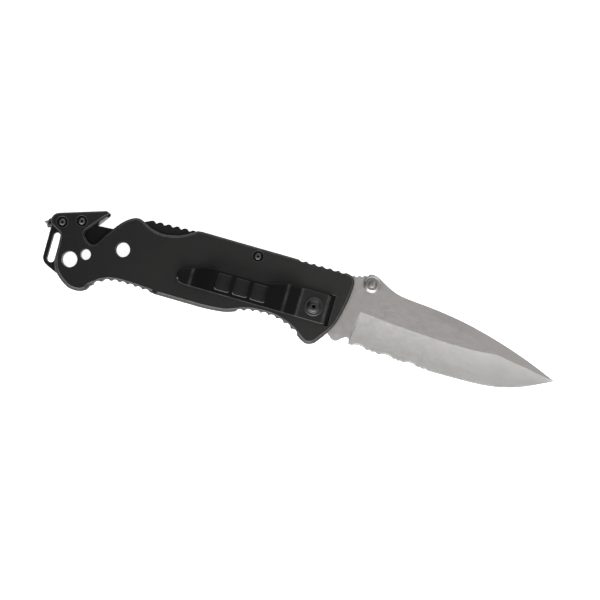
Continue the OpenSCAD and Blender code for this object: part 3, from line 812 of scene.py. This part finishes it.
def make_blade():
    shell = Shell()
    FLAT, GROUND, SPINE, HONED = 0, 1, 2, 3
    # Close together where the serrations are, wider apart along the plain edge.
    serrated, plain_part, point = (
        np.arange(19.2, 51, 0.25), np.arange(51.5, 90, 1.0), np.arange(90, TIP, 0.5)
    )  # fmt: skip
    stations = np.r_[18.9, serrated, plain_part, point, TIP]
    columns = {}
    for side in (1, -1):
        columns[side] = [shell.ring(plunge_section(side))]
        for x in stations:
            columns[side].append(shell.ring(blade_section(x, side)))
        rows = len(columns[side][0])
        for a, b in zip(columns[side], columns[side][1:]):
            for r in range(rows - 1):
                kind = GROUND if r > 2 else SPINE if r == 0 else FLAT
                if r == rows - 2:
                    kind = HONED
                shell.face([a[r], b[r], b[r + 1], a[r + 1]], kind)
    for row, kind in ((0, SPINE), (-1, HONED)):
        near, far = ([c[row] for c in columns[side]] for side in (1, -1))
        shell.strip(near, far, closed=False, finish=kind)
    near, far = columns[1][-1], columns[-1][-1]
    shell.strip(near, far, closed=False, finish=SPINE)

    # The tang: a flat plate from the plunge line round the pivot, with cuts along its spine.
    start = shell.at[columns[1][0][0]][:2]
    jimped = join(curve([start, (17.4, 17.95), (15.9, 17.1), (13.8, 16.4), (11.8, 15.8), (10.8, 15.4)]))
    jimped = even(jimped, 0.08, False)
    back = arc((0, 0), TANG_R, math.degrees(math.acos(TANG_FRONT / TANG_R)), 300, 90)
    choil = even(
        curve([(6.2, -7.6), (7.4, -8), (8.6, -9.2), (10, -10.3), (11.3, -10.7), (12.6, -10.3), (13.8, -9.2),
               (15.2, -8.3), PLUNGE_LOW]), 0.25, False
    )  # fmt: skip
    line = join(jimped, [(TANG_FRONT, 15.4)], back, choil)
    line = line[1:-1]  # the first and last points belong to the plunge line
    ends = np.vstack([[start], line, [PLUNGE_LOW]])
    d = np.gradient(ends, axis=0)[1:-1]
    n = np.column_stack([-d[:, 1], d[:, 0]]) / np.linalg.norm(d, axis=1)[:, None]
    cut = np.zeros(len(line))
    for spot in ((12.8, 16.35), (14.85, 17), (16.7, 17.75)):
        v = line - np.array(spot)
        b, c = (v * n).sum(1), (v**2).sum(1) - JIMP_R**2
        hit = c < 0
        cut[hit] = -b[hit] + np.sqrt(b[hit] ** 2 - c[hit])
    wall = line + n * cut[:, None]
    face = wall + n * 0.1
    bore = round_shape((0, 0), PIVOT_BORE)
    loops = {}
    for side in (1, -1):
        z = MID + side * BLADE_HALF
        plunge = columns[side][0]
        outer = [plunge[0], *shell.loop(wall, z - side * 0.1, 1.0), plunge[-1]]
        inner = [plunge[0], *shell.loop(face, z, 1.0), plunge[-1]]
        shell.strip(outer, inner, closed=False, finish=FLAT)
        hole = shell.loop(bore(0.1), z)
        shell.cap(inner + plunge[-2:0:-1], [hole], down=side < 0, finish=FLAT)
        loops[side] = (outer, hole, shell.loop(bore(0), z - side * 0.1))
        shell.strip(hole, loops[side][2])
    shell.strip(loops[1][0], loops[-1][0], closed=False, finish=SPINE)
    shell.strip(loops[1][2], loops[-1][2], finish=SPINE)
    return shell


blade_finishes = [flat_steel, ground_steel, spine_steel_painted_shade, honed_steel]
make_blade().build("blade_body", "blade_group", ["blade"], blade_finishes, "blade_steel", sharp=3.5)


# ---- Turned parts ----
def turned(profile, place, count=72, shell=None):
    """A turned part: a ring for each (radius, height, mark, lobes), mark being the wear and painted light
    value. place maps local points.

    lobes is how deep six lobes cut into that ring, for a star socket.
    """
    shell = shell or Shell()
    a = np.linspace(0, 2 * math.pi, count, endpoint=False)
    rings = []
    for r, z, wear, lobes in profile[1:-1]:
        reach = r * (1 - lobes + lobes * np.cos(6 * a))
        rings.append(shell.ring(place(reach * np.cos(a), reach * np.sin(a), np.full(count, z)), wear))
    shell.stack(rings)
    for ring, (_, z, _, _) in ((rings[0], profile[0]), (rings[-1], profile[-1])):
        middle = place(np.zeros(1), np.zeros(1), np.array([z]))[0]
        shell.pole(ring, middle, wear=min(shell.wear[ring[0]], 0))
    return shell


def upright(spot, z0, up=1):
    return lambda x, y, z: np.column_stack([spot[0] + x, spot[1] + y, z0 + up * z])


def plain(points, wear=0.0):
    return [(r, z, wear, 0.0) for r, z in points]


def socket(r, top, depth):
    """The end of a profile: a star socket in a flat top, its inside marked -1.0 so that it is painted black
    as painted shade.
    """
    return [
        (r + 0.16, top, 0.6, 0.03), (r, top - 0.06, 0.3, 0.13), (r * 0.98, top - 0.2, -1.0, 0.13),
        (r, top - depth, -1.0, 0.13), (r * 0.3, top - depth - 0.1, -1.0, 0.0),
        (0, top - depth - 0.15, -1.0, 0.0),
    ]  # fmt: skip


stud_profile = plain([
    (0, 0), (2.9, 0), (3.2, 0.12), (3.4, 0.4), (3.4, 1.1), (3.3, 1.3), (3.05, 1.42), (2.72, 1.5),
    (2.6, 1.62), (2.6, 2.2), (2.72, 2.36), (2.95, 2.5), (3.0, 2.62), (3.0, 3.1), (2.9, 3.32), (2.6, 3.55),
    (2.2, 3.66), (1.62, 3.6), (1.45, 3.45), (1.32, 3.5), (1.3, 4.1), (1.2, 4.3), (0.95, 4.4), (0, 4.4),
])  # fmt: skip
for name, face, up in (("thumb_stud_near", BLADE_HIGH, 1), ("thumb_stud_far", BLADE_LOW, -1)):
    turned(stud_profile, upright(STUD, face, up), 96).build(
        "piece_" + name, "blade_group", [name], [stud_steel], "stud_steel", sharp=35
    )

CLIP_T = 1.2
clip_top = TOP + CLIP_T
pivot_profile = plain([
    (0, -7.6), (1.85, -7.6), (1.85, -0.02), (3.6, 0), (3.7, 0.08), (3.68, 0.2), (3.5, 0.32), (3.25, 0.38),
    (3.0, 0.34), (2.8, 0.25), (2.6, 0.3), (2.4, 0.5), (2.25, 0.75), (2.1, 1.0), (1.85, 1.22), (1.5, 1.36),
    (1.2, 1.4),
])  # fmt: skip
pivot_profile += socket(0.8, 1.4, 1.1)
turned(pivot_profile, upright((0, 0), clip_top)).build(
    "pivot_head", "handle", ["pivot_screw"], [pivot_black], "screw_steel", sharp=35
)

SLEEVE_END = 0.1  # height of the sleeve's flanged end, which has a socket from below
barrel_profile = plain([
    (0, 4.0), (1.9, 4.0), (1.9, 12.2), (2.9, 12.2), (3.0, 12.1), (3.0, 1.1), (4.2, 1.1), (4.3, 1.0),
    (4.3, 0.35), (4.1, 0.14), (3.8, SLEEVE_END),
])  # fmt: skip
for r, z, wear, lobes in socket(1.6, SLEEVE_END, 1.2):
    barrel_profile.append((r, SLEEVE_END - (z - SLEEVE_END), wear, lobes))
turned(barrel_profile, upright((0, 0), 0)).build(
    "pivot_sleeve", "handle", ["pivot_barrel"], [pivot_black], "screw_steel", sharp=35
)

half_gap = (GAP_HIGH - GAP_LOW) / 2
head_floor = half_gap + (TOP - GAP_HIGH) - HEAD_RECESS
screw_profile = plain([
    (0, 0.2), (1.0, 0.2), (1.0, head_floor), (1.5, head_floor), (1.65, head_floor + 0.12),
    (1.65, head_floor + 0.5), (1.55, head_floor + 0.8), (1.35, head_floor + 1.02),
    (1.1, head_floor + 1.17), (0.85, head_floor + 1.24),
])  # fmt: skip
screw_profile += socket(0.58, head_floor + 1.26, 0.8)
for node, spots in (("lock_bar_screws", [tuple(ROCKER)]), ("cutter_screws", CUTTER_SPOTS)):
    shell = Shell()
    for spot in spots:
        for up in (1, -1):
            turned(screw_profile, upright(spot, MID, up), 48, shell)
    shell.build("piece_" + node, "handle", [node], [screw_black], "screw_steel", sharp=35)


# ---- Pocket clip ----
pad = TOP + CLIP_T / 2
RISE = 2.0
PAD_END = -5.9  # beyond the flat pad the clip gets a darker copy of its black: painted shade for the arm's darker reflection
BENDS = (4.75, -5.8, -11.3, -48.8)  # painted lighter: painted highlight stripes along the bends
BEND_HIGHLIGHT, BEND_HIGHLIGHT_REACH = 0.76, 0.9  # how strong the painted highlight is, and how far to each side
clip_line = join(
    [(5.3, TOP - 2)],
    arc((4.4, pad - 0.9), 0.9, 0, 90, 12),
    [(3.8, pad)],
    curve([(-4.6, pad), (-5.8, pad + 0.1), (-7, pad + 0.5), (-10.2, pad + RISE - 0.5),
           (-11.4, pad + RISE - 0.1), (-12.6, pad + RISE)], 6),
    curve([(-38, pad + RISE), (-42, pad + RISE - 0.4), (-46, pad + 0.45), (-48.6, pad + 0.1),
           (-51, pad + 0.5), (-55.5, pad + 2)], 6),
)  # fmt: skip
clip_run = np.r_[0, np.cumsum(np.hypot(*np.diff(clip_line, axis=0).T))]


def unrolled(x):
    """Distance along the clip's side line to where it passes x."""
    order = np.argsort(clip_line[:, 0], kind="stable")
    return np.interp(x, clip_line[order, 0], clip_run[order])


clip_top_edge = curve(
    [(-11.5, 5.8), (-15, 5), (-18, 4.1), (-22, 3.6), (-30, 3.55), (-40, 3.5), (-44, 2.9), (-47.5, 1.9),
     (-51, 0.8), (-53, -0.3), (-54.1, -1.8), (-54.2, -3.7), (-53.3, -5.1), (-51.6, -5.7)], 8
)  # fmt: skip


def make_clip():
    """Cut flat, then bent along its side line."""
    # In the flat, x is minus the distance from the foot.
    edge = clip_top_edge.copy()
    edge[:, 0] = -unrolled(edge[:, 0])
    edge = join([(0.0, -5.7), (0.0, 5.8)], edge)
    wells = []
    for x in (-38.8, -31.6, -24.5):
        start = -float(unrolled(x))
        shape = box_shape(start, start + 5.4, -3.9, 2.3, 0.6)
        wells.append((shape, through(0, CLIP_T, 0.2), True))
    wells.append((round_shape((-float(unrolled(0.0)), 0), 2.0), through(0, CLIP_T, 0.08), True))
    shell = plate(edge, 0, CLIP_T, (0.2, 0.2), (0.12, 0.12), 0.0, wells)
    # The lower rims of the windows get a painted highlight, lighter than any wear; the upper edges are
    # hardly rubbed.
    for k, (x, y, _) in enumerate(shell.at):
        if shell.wear[k] and y > -3.5:
            shell.wear[k] = 0.35
        # Mark 3.0 on the lower window rims: a painted highlight.
        elif shell.wear[k] and y > -4.3 and x < -15:
            shell.wear[k] = 3.0
    slope = np.gradient(clip_line, clip_run, axis=0)
    slope /= np.linalg.norm(slope, axis=1)[:, None]

    def bend(bm):
        for u in clip_run[1:-1]:
            bmesh.ops.bisect_plane(
                bm, geom=bm.verts[:] + bm.edges[:] + bm.faces[:], dist=1e-5,
                plane_co=(-u, 0, 0), plane_no=(1, 0, 0),
            )  # fmt: skip
        for v in bm.verts:
            u, lift = -v.co.x, v.co.z - CLIP_T / 2
            x, z = (np.interp(u, clip_run, clip_line[:, k]) for k in (0, 1))
            dx, dz = (np.interp(u, clip_run, slope[:, k]) for k in (0, 1))
            size = math.hypot(dx, dz)
            v.co.x, v.co.z = x + lift * dz / size, z - lift * dx / size
        bm.normal_update()
        # Faces beyond the pad take the darker copy: painted shade.
        for f in bm.faces:
            f.material_index = int(f.calc_center_median().x < PAD_END)
        # Upward faces near the bends are painted lighter: painted highlights along the bends.
        rub_and_highlight = bm.verts.layers.float["wear"]
        for v in bm.verts:
            off = min(abs(v.co.x - x) for x in BENDS)
            if v.normal.z > 0.3 and off < BEND_HIGHLIGHT_REACH:
                v[rub_and_highlight] = max(v[rub_and_highlight], BEND_HIGHLIGHT * (1 - (off / BEND_HIGHLIGHT_REACH) ** 2))

    shell.build(
        "clip", "handle", ["pocket_clip"], [clip_black, clip_arm_painted_shade], "clip_steel", sharp=28, remap=bend
    )


make_clip()


# ---- Lock ----
bar_top = [(-51.3, 15.3), (-52.3, 15.5)]
for x in np.arange(-54.5, -68, -3.3):
    low = 14.5 + (x + 61) * 0.04
    bar_top += [(x + 1.1, low + 0.7), (x, low), (x - 1.1, low + 0.7)]
bar_top += [
    (-69.7, 14.8), (-70.7, 14.3), (-72.2, 13.5), (-72.5, 12.4), (-72.2, 10.6), (-71, 9.1), (-69, 8.8),
]  # fmt: skip
bar_edge = join(
    even([(5, 15.4), (-51.3, 15.3)], 2.0, False),
    even(curve(bar_top), 0.15, False),
    [(-36, 9.3)],
    curve([(-8.5, 9.6), (-7.2, 10), (-6.2, 11.1), (-5, 11.5), (-3.9, 11.1), (-3.2, 9.47)], 4),
    arc((0, 0), 10.0, 108.7, 60, 14),
)
plate(
    bar_edge, BLADE_LOW, BLADE_HIGH, (0.15, 0.15), (0.15, 0.15), 0.0,
    [(round_shape(ROCKER, 2.05), through(BLADE_LOW, BLADE_HIGH, 0.05), True)], fade=0.08,
).build("lock_lever", "lock_group", ["lock_bar"], [black_steel], "black_steel")  # fmt: skip

spring_line = even(
    curve([(-76.4, 6.6), (-72, 6.5), (-66, 6.1), (-60, 6.6), (-54, 7.8), (-50.5, 8.6), (-48.5, 8.5),
           (-47.5, 7.9)]),
    0.4, False,
)  # fmt: skip
tangent = np.gradient(spring_line, axis=0)
across = np.column_stack([-tangent[:, 1], tangent[:, 0]]) / np.linalg.norm(tangent, axis=1)[:, None]
SPRING_T = 0.6
spring_edge = join(spring_line - across * SPRING_T / 2, (spring_line + across * SPRING_T / 2)[::-1])
spring = plate(spring_edge, MID - 1.3, MID + 1.3, (0.08, 0.08), (0.08, 0.08), fade=0.05).build(
    "spring_leaf", None, ["lock_spring"], [spring_steel], "spring_steel"
)


def placed(x, y, z):
    return ((x + PIVOT[0]) * MM, (y + PIVOT[1]) * MM, z * MM)


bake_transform(spring, "handle", "lock_group", start=placed(-72, 6.5, MID), end=placed(-47.5, 7.9, MID))

spacer_edge = join(
    curve([(-73.8, 13.3), (-75.6, 13.2), (-77.8, 12), (-79.9, 10.2), (-81.6, 8.2), (-81.9, 6.4),
           (-81.2, 4.8)], 8),
    [(-76.6, 4.8), (-73.8, 4.8), (-73.8, 6.15), (-76.6, 6.15), (-76.6, 7.05), (-73.8, 7.05)],
)
plate(
    spacer_edge, GAP_LOW, GAP_HIGH, (0.1, 0.1), (0.1, 0.1), 0.0,
    [(round_shape(spot, 1.05, 36), through(GAP_LOW, GAP_HIGH, 0.08), True) for spot in PIN_SPOTS],
).build("spacer", "handle", ["back_spacer"], [black_steel], "black_steel")  # fmt: skip


# ---- Tail ----
plate_edge = join(
    even([(-89.1, 7.1), (-85.85, 11.45)], 0.3, False),
    curve([(-85.85, 11.45), (-85.6, 12.2), (-85.95, 12.9), (-87.3, 13.2)], 8),
    curve([(-104.9, 7), (-106.3, 5.6), (-106.85, 3.6), (-106.75, 0.6)], 8),
    curve([(-106.65, -9.8), (-106.35, -11.2), (-105.3, -12.5), (-103.6, -13.5)], 8),
    [(-99.7, -15.2), (-98.9, -13.4), (-96.2, -12.95), (-92, -10.1), (-88.6, -7.5), (-86.5, -5.6),
     (-84.5, -3.4), (-83, 2), (-82.4, 7.6)],
)  # fmt: skip
# Where the edge runs along the cutter's upper arm it is ground to a cutting edge.
ARM_START, ARM_LENGTH = np.array([-89.1, 7.1]), 5.5
ARM_ALONG, ARM_ACROSS = np.array([0.6, 0.8]), np.array([-0.8, 0.6])
arm_run = (plate_edge - ARM_START) @ ARM_ALONG
off_arm = np.abs((plate_edge - ARM_START) @ ARM_ACROSS) > 0.08
bevel = np.clip(np.minimum(arm_run / 1.2, (ARM_LENGTH - arm_run) / 1.2), 0, 1)
bevel[off_arm] = 0
bevel_width = 0.12 + 0.7 * bevel
bevel_drop = 0.12 + 0.12 * np.minimum(bevel * 3, 1)
tail = plate(
    plate_edge, GAP_LOW, GAP_HIGH, (bevel_width, bevel_drop), (bevel_width, bevel_drop), 0.0,
    [
        (round_shape(BIG_HOLE, BIG_R, 96), through(GAP_LOW, GAP_HIGH, 0.05), True),
        (round_shape(SMALL_HOLE, SMALL_R), through(GAP_LOW, GAP_HIGH, 0.1), True),
        (box_shape(-104.75, -102.05, -11.6, 0.1, 1.34), through(GAP_LOW, GAP_HIGH, 0.2), True),
    ],
    fade=0.08,
)
for k, corners in enumerate(tail.faces):
    xy = np.mean([tail.at[i][:2] for i in corners], axis=0) - ARM_START
    run, depth = xy @ ARM_ALONG, xy @ ARM_ACROSS
    ground = np.interp(run, arm_run[~off_arm], bevel_width[~off_arm]) - 0.1
    if 0.2 < run < ARM_LENGTH and -0.1 < depth < ground:
        tail.finish[k] = 1
tail.build("tail_tool", "handle", ["tail_plate"], [tail_black_painted_shade, cutter_steel], "black_steel")


def towards_tail(x0):
    return lambda x, y, z: np.column_stack([x0 - z, BREAKER_Y + y, MID + x])


body_profile = plain([
    (0, 0), (1.7, 0), (1.7, 2.15), (1.9, 2.17), (1.95, 2.23), (1.95, 2.72), (1.88, 2.86), (1.42, 3.24),
    (1.3, 3.3), (0, 3.3),
])  # fmt: skip
turned(body_profile, towards_tail(-105.2), 48).build(
    "breaker_holder", "handle", ["breaker_body"], [black_steel], "black_steel", sharp=35
)
tip_profile = plain([
    (0, 0), (0.8, 0), (0.8, 2.3), (1.08, 2.3), (1.04, 2.42), (0.16, 3.66), (0.08, 3.77), (0, 3.8),
])  # fmt: skip
turned(tip_profile, towards_tail(-106.2), 48).build(
    "breaker_point", "handle", ["breaker_tip"], [carbide], "carbide", sharp=35
)

# ---- CAD pieces that stay as they are, inside the handle ----
for name, material in (
    ("pivot_washer_near", bronze),
    ("pivot_washer_far", bronze),
    ("lock_bar_barrel", pin_steel),
    ("cutter_barrels", pin_steel),
    ("spacer_pins", pin_steel),
):
    node = frame["nodes"][name]
    node.data.materials.clear()
    node.data.materials.append(material)

# ---- Floor, light and camera ----
scene = bpy.context.scene
floor_mesh = bpy.data.meshes.new("floor")
SPAN = 4.0
floor_mesh.from_pydata(
    [(-SPAN, -SPAN, 0), (SPAN, -SPAN, 0), (SPAN, SPAN, 0), (-SPAN, SPAN, 0)], [], [(0, 1, 2, 3)]
)
floor = bpy.data.objects.new("floor", floor_mesh)
floor.location.z = cad_low.z - 0.00005
scene.collection.objects.link(floor)
paper = Nodes("floor_paper")
paper.link(
    paper.mix(paper.noise(60.0), (0.86, 0.86, 0.86), (0.9, 0.9, 0.9)), paper.shader.inputs["Base Color"]
)
paper.shader.inputs["Roughness"].default_value = 0.9
paper.shader.inputs["Emission Color"].default_value = (1, 1, 1, 1)
paper.shader.inputs["Emission Strength"].default_value = 0.95
floor_mesh.materials.append(paper.material)


def studio():
    """Soft surroundings: brighter towards -Y and low down, with a bright band to the +X side."""
    world = bpy.data.worlds.new("studio")
    world.use_nodes = True
    tree = world.node_tree

    def add(kind, **values):
        node = tree.nodes.new(kind)
        for key, value in values.items():
            setattr(node, key, value)
        return node

    def ramp(value, low, high, to_low, to_high):
        node = add("ShaderNodeMapRange", interpolation_type="SMOOTHSTEP")
        for key, number in (("From Min", low), ("From Max", high), ("To Min", to_low), ("To Max", to_high)):
            node.inputs[key].default_value = number
        tree.links.new(value, node.inputs["Value"])
        return node.outputs["Result"]

    def combine(kind, a, b):
        node = add("ShaderNodeMath", operation=kind)
        tree.links.new(a, node.inputs[0])
        tree.links.new(b, node.inputs[1])
        return node.outputs["Value"]

    split = add("ShaderNodeSeparateXYZ")
    tree.links.new(add("ShaderNodeTexCoord").outputs["Generated"], split.inputs[0])
    x, y, z = (split.outputs[axis] for axis in "XYZ")
    upper = combine("MULTIPLY", ramp(y, 0.15, -0.3, 0.36, 0.72), ramp(z, 0.95, 0.998, 1.0, 0.9))
    upper = combine("MULTIPLY", upper, ramp(x, -0.35, -0.05, 0.6, 1.0))
    low = combine("ADD", ramp(y, -0.5, -0.95, 0.0, 4.0), ramp(y, 0.55, 0.95, 0.0, 1.4))
    band = combine("MULTIPLY", ramp(x, 0.2, 0.3, 0.0, 0.9), ramp(x, 0.36, 0.44, 1.0, 0.0))
    back = tree.nodes["Background"]
    tree.links.new(combine("ADD", combine("ADD", upper, low), band), back.inputs["Strength"])
    back.inputs["Color"].default_value = (1, 0.995, 0.985, 1)
    scene.world = world


studio()
scene.view_settings.view_transform = "Standard"


def softbox(name, at, width, height, power):
    """A rectangular light that faces the middle of the floor."""
    light = bpy.data.lights.new(name, "AREA")
    light.shape = "RECTANGLE"
    light.size, light.size_y, light.energy = width, height, power
    obj = bpy.data.objects.new(name, light)
    obj.location = at
    obj.rotation_euler = (-Vector(at)).to_track_quat("-Z", "Y").to_euler()
    scene.collection.objects.link(obj)
    return obj


softbox("front_softbox", (0.2, -1.3, 0.6), 1.6, 0.7, 12)

CAMERA_HEIGHT = 1.7
CAMERA_OVER = np.array([-5.77, 0.97])
FRAME_WIDTH = 0.2328  # what the camera sees across, at the height of the handle's face
camera_data = bpy.data.cameras.new("camera")
camera_data.sensor_width = 36
camera_data.lens = camera_data.sensor_width * CAMERA_HEIGHT / FRAME_WIDTH
camera = bpy.data.objects.new("camera", camera_data)
camera.location = (*(PIVOT + CAMERA_OVER) * MM, TOP * MM + CAMERA_HEIGHT)
camera.rotation_euler = (0, 0, math.radians(16))
scene.collection.objects.link(camera)
scene.camera = camera

bpy.context.view_layer.update()
